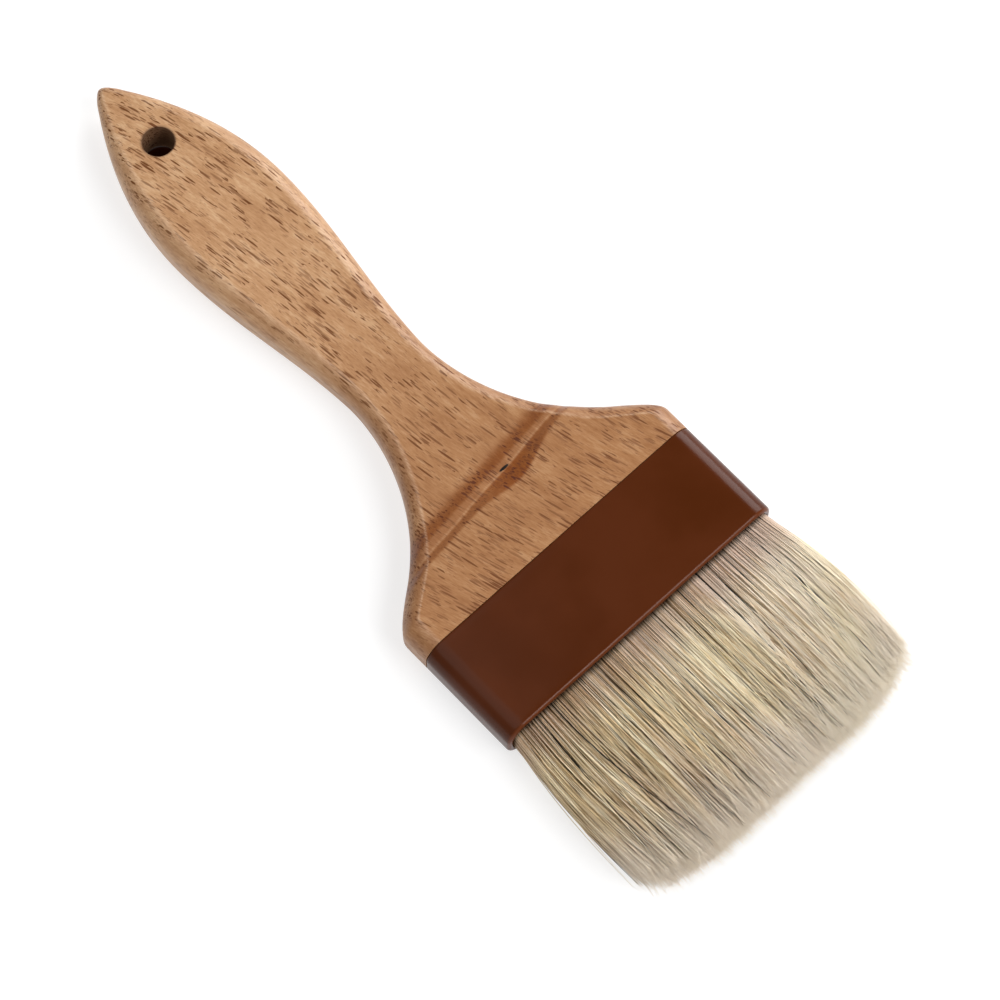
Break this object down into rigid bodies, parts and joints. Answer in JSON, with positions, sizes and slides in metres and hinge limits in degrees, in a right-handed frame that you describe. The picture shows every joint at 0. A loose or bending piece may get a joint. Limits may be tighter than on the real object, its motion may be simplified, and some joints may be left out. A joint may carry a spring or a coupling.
{
  "type": "pastry brush",
  "caption": "Flat pastry brush with a pierced beavertail wooden handle, a moulded ferrule over its tenon, and natural bristles that flex in tufts.",
  "frame": {"origin": "centre of the footprint, on the surface that the brush lies on", "axes": "+Z out of the front face, +Y from the bristle tips to the tip of the handle, +X across the width"},
  "size_m": [0.0762, 0.219, 0.013],
  "materials": {
    "handle_wood": "open-pored tan hardwood, finely sanded, thin clear seal",
    "ferrule_plastic": "dark brown moulded plastic, satin gloss",
    "adhesive": "cured adhesive film",
    "resin": "cured amber setting resin",
    "strip_wood": "plain sawn softwood strip",
    "bristle": "natural cream hog bristle with flagged pale tips"
  },
  "bodies": {
    "brush_body": {"handle": "handle_wood", "ferrule": "ferrule_plastic", "ferrule_adhesive": "adhesive", "setting_resin": "resin", "spacer_strip": "strip_wood", "front_bristle_roots": "bristle", "back_bristle_roots": "bristle"},
    "tuft_1": {"bristle_tuft_1": "bristle"},
    "tuft_2": {"bristle_tuft_2": "bristle"},
    "tuft_3": {"bristle_tuft_3": "bristle"},
    "tuft_4": {"bristle_tuft_4": "bristle"},
    "tuft_5": {"bristle_tuft_5": "bristle"},
    "tuft_6": {"bristle_tuft_6": "bristle"}
  },
  "joints": [
    {"name": "tuft_1_flex", "type": "hinge", "parent": "brush_body", "child": "tuft_1", "pos_m": [0, -0.0642, 0.0065], "axis": [1, 0, 0], "range_deg": [-30, 30], "stiffness_Nm_per_rad": 0.05},
    {"name": "tuft_2_flex", "type": "hinge", "parent": "brush_body", "child": "tuft_2", "pos_m": [0, -0.0642, 0.0065], "axis": [1, 0, 0], "range_deg": [-30, 30], "stiffness_Nm_per_rad": 0.05},
    {"name": "tuft_3_flex", "type": "hinge", "parent": "brush_body", "child": "tuft_3", "pos_m": [0, -0.0642, 0.0065], "axis": [1, 0, 0], "range_deg": [-30, 30], "stiffness_Nm_per_rad": 0.05},
    {"name": "tuft_4_flex", "type": "hinge", "parent": "brush_body", "child": "tuft_4", "pos_m": [0, -0.0642, 0.0065], "axis": [1, 0, 0], "range_deg": [-30, 30], "stiffness_Nm_per_rad": 0.05},
    {"name": "tuft_5_flex", "type": "hinge", "parent": "brush_body", "child": "tuft_5", "pos_m": [0, -0.0642, 0.0065], "axis": [1, 0, 0], "range_deg": [-30, 30], "stiffness_Nm_per_rad": 0.05},
    {"name": "tuft_6_flex", "type": "hinge", "parent": "brush_body", "child": "tuft_6", "pos_m": [0, -0.0642, 0.0065], "axis": [1, 0, 0], "range_deg": [-30, 30], "stiffness_Nm_per_rad": 0.05}
  ]
}
